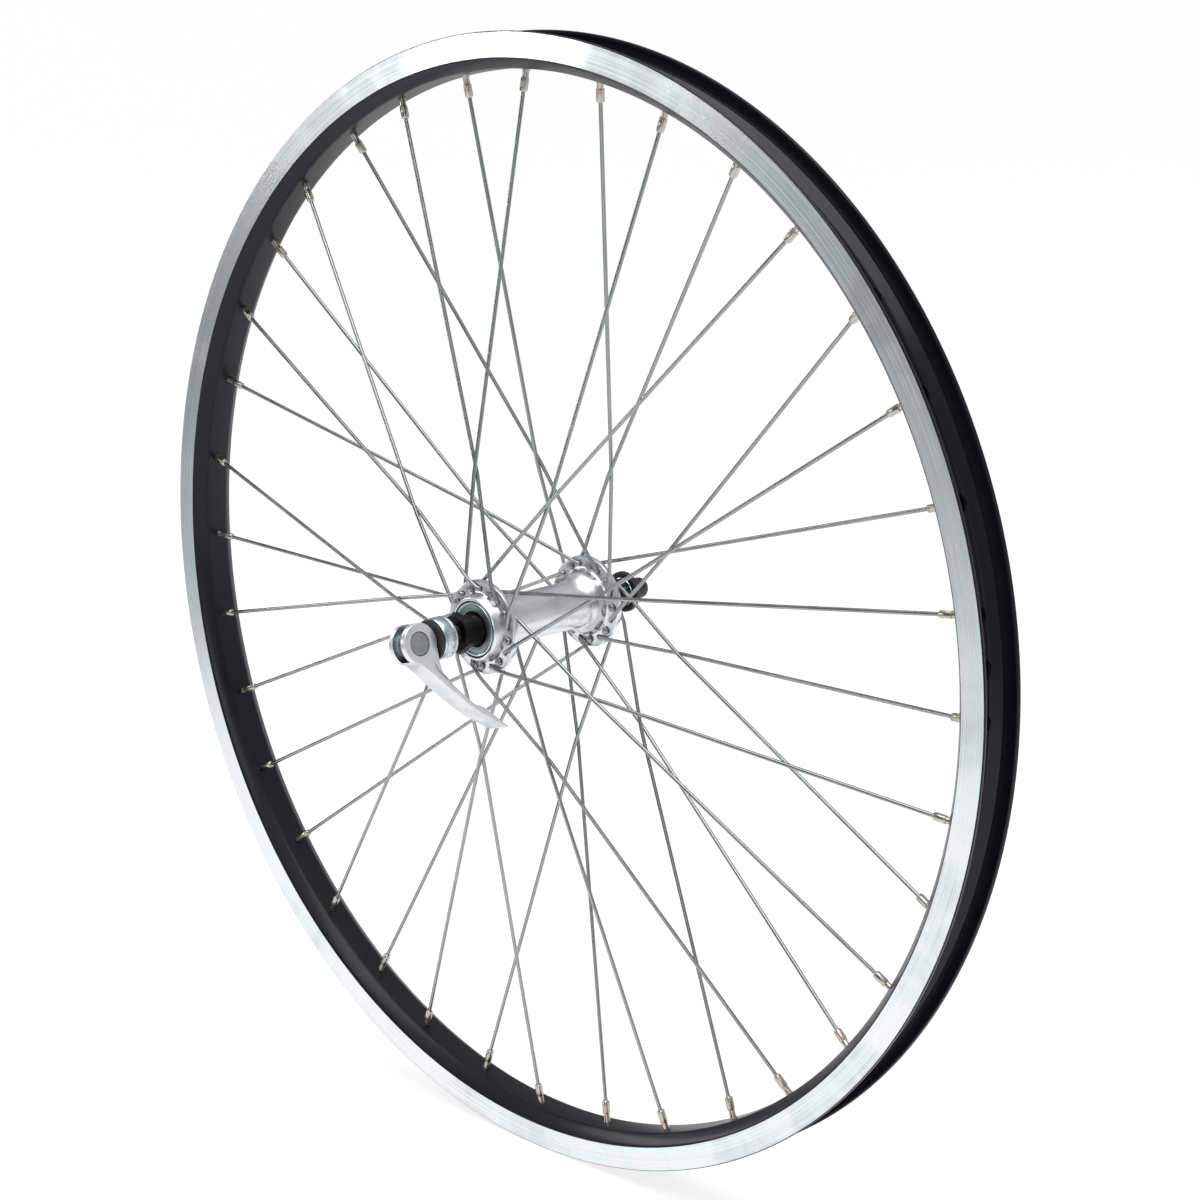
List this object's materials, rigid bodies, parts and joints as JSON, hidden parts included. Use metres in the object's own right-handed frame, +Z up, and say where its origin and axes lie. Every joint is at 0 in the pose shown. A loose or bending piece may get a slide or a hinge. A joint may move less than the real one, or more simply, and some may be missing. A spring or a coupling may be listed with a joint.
{
  "type": "bicycle front wheel",
  "caption": "Spoked bicycle front wheel without a tyre: black double-wall rim with bright brake tracks, crossed wire spokes, silver flanged hub and a cam-lever quick-release skewer.",
  "frame": {"origin": "the wheel's centre, on the axle midway between the locknut faces", "axes": "+Y along the axle from the quick-release lever's side (the bicycle's left) to the adjusting nut's side, +Z up, +X in the wheel's plane"},
  "size_m": [0.5174, 0.1529, 0.5174],
  "materials": {
    "black_rim": "black gloss anodised",
    "brake_track": "bare, machined round the wheel",
    "spoke_steel": "drawn stainless wire",
    "polished_aluminium": "polished, clear anodised",
    "bright_steel": "ground and hardened",
    "black_steel": "black oxide",
    "grey_seal": "dull pressed cap",
    "zinc_steel": "bright zinc plate",
    "cast_aluminium": "satin casting",
    "grey_pin": "moulded grey",
    "black_plastic": "moulded black"
  },
  "bodies": {
    "axle_set": {"axle": "black_steel", "left_cone": "black_steel", "left_locknut": "black_steel", "right_cone": "black_steel", "right_locknut": "black_steel"},
    "wheel": {"rim": "black_rim", "left_brake_wall": "brake_track", "right_brake_wall": "brake_track", "spoke_01": "spoke_steel", "spoke_02": "spoke_steel", "spoke_03": "spoke_steel", "spoke_04": "spoke_steel", "spoke_05": "spoke_steel", "spoke_06": "spoke_steel", "spoke_07": "spoke_steel", "spoke_08": "spoke_steel", "spoke_09": "spoke_steel", "spoke_10": "spoke_steel", "spoke_11": "spoke_steel", "spoke_12": "spoke_steel", "spoke_13": "spoke_steel", "spoke_14": "spoke_steel", "spoke_15": "spoke_steel", "spoke_16": "spoke_steel", "spoke_17": "spoke_steel", "spoke_18": "spoke_steel", "spoke_19": "spoke_steel", "spoke_20": "spoke_steel", "spoke_21": "spoke_steel", "spoke_22": "spoke_steel", "spoke_23": "spoke_steel", "spoke_24": "spoke_steel", "spoke_25": "spoke_steel", "spoke_26": "spoke_steel", "spoke_27": "spoke_steel", "spoke_28": "spoke_steel", "spoke_29": "spoke_steel", "spoke_30": "spoke_steel", "spoke_31": "spoke_steel", "spoke_32": "spoke_steel", "spoke_33": "spoke_steel", "spoke_34": "spoke_steel", "spoke_35": "spoke_steel", "spoke_36": "spoke_steel", "hub_shell": "polished_aluminium", "left_cup": "bright_steel", "left_dust_cap": "grey_seal", "right_cup": "bright_steel", "right_dust_cap": "grey_seal"},
    "left_bearing": {"left_balls": "bright_steel"},
    "right_bearing": {"right_balls": "bright_steel"},
    "skewer": {"skewer_rod": "zinc_steel", "cam_pin": "grey_pin", "left_spring": "black_steel", "right_spring": "black_steel"},
    "lever": {"cam_lever": "cast_aluminium"},
    "collar": {"lever_collar": "zinc_steel", "cam_pad": "black_plastic"},
    "insert": {"nut_insert": "zinc_steel"},
    "nut": {"adjusting_nut": "black_plastic"}
  },
  "joints": [
    {"name": "wheel_spin", "type": "hinge", "parent": "axle_set", "child": "wheel", "pos_m": [0, 0, 0], "axis": [0, 1, 0], "continuous": true},
    {"name": "left_bearing_roll", "type": "hinge", "parent": "axle_set", "child": "left_bearing", "pos_m": [0, 0, 0], "axis": [0, 1, 0], "continuous": true},
    {"name": "right_bearing_roll", "type": "hinge", "parent": "axle_set", "child": "right_bearing", "pos_m": [0, 0, 0], "axis": [0, 1, 0], "continuous": true},
    {"name": "skewer_turn", "type": "hinge", "parent": "axle_set", "child": "skewer", "pos_m": [0, 0, 0], "axis": [0, 1, 0], "range_deg": [-180, 180]},
    {"name": "lever_throw", "type": "hinge", "parent": "skewer", "child": "lever", "pos_m": [0, -0.07477, 0], "axis": [-0.9724, 0, -0.2334], "range_deg": [0, 180]},
    {"name": "collar_slide", "type": "slide", "parent": "skewer", "child": "collar", "axis": [0, -1, 0], "range_m": [0, 0.0012], "deforming": ["left_spring"]},
    {"name": "insert_slide", "type": "slide", "parent": "skewer", "child": "insert", "axis": [0, -1, 0], "range_m": [-0.004, 0.002], "deforming": ["right_spring"]},
    {"name": "nut_turn", "type": "hinge", "parent": "insert", "child": "nut", "pos_m": [0, 0.0558, 0], "axis": [0, -1, 0], "range_deg": [-1800, 900]}
  ],
  "couplings": [
    {"joint": "left_bearing_roll", "follows": "wheel_spin", "ratio": 0.5937},
    {"joint": "right_bearing_roll", "follows": "wheel_spin", "ratio": 0.5937},
    {"joint": "collar_slide", "follows": "lever_throw", "m_per_rad": 0.00038197},
    {"joint": "nut_turn", "follows": "insert_slide", "rad_per_m": 7854}
  ]
}
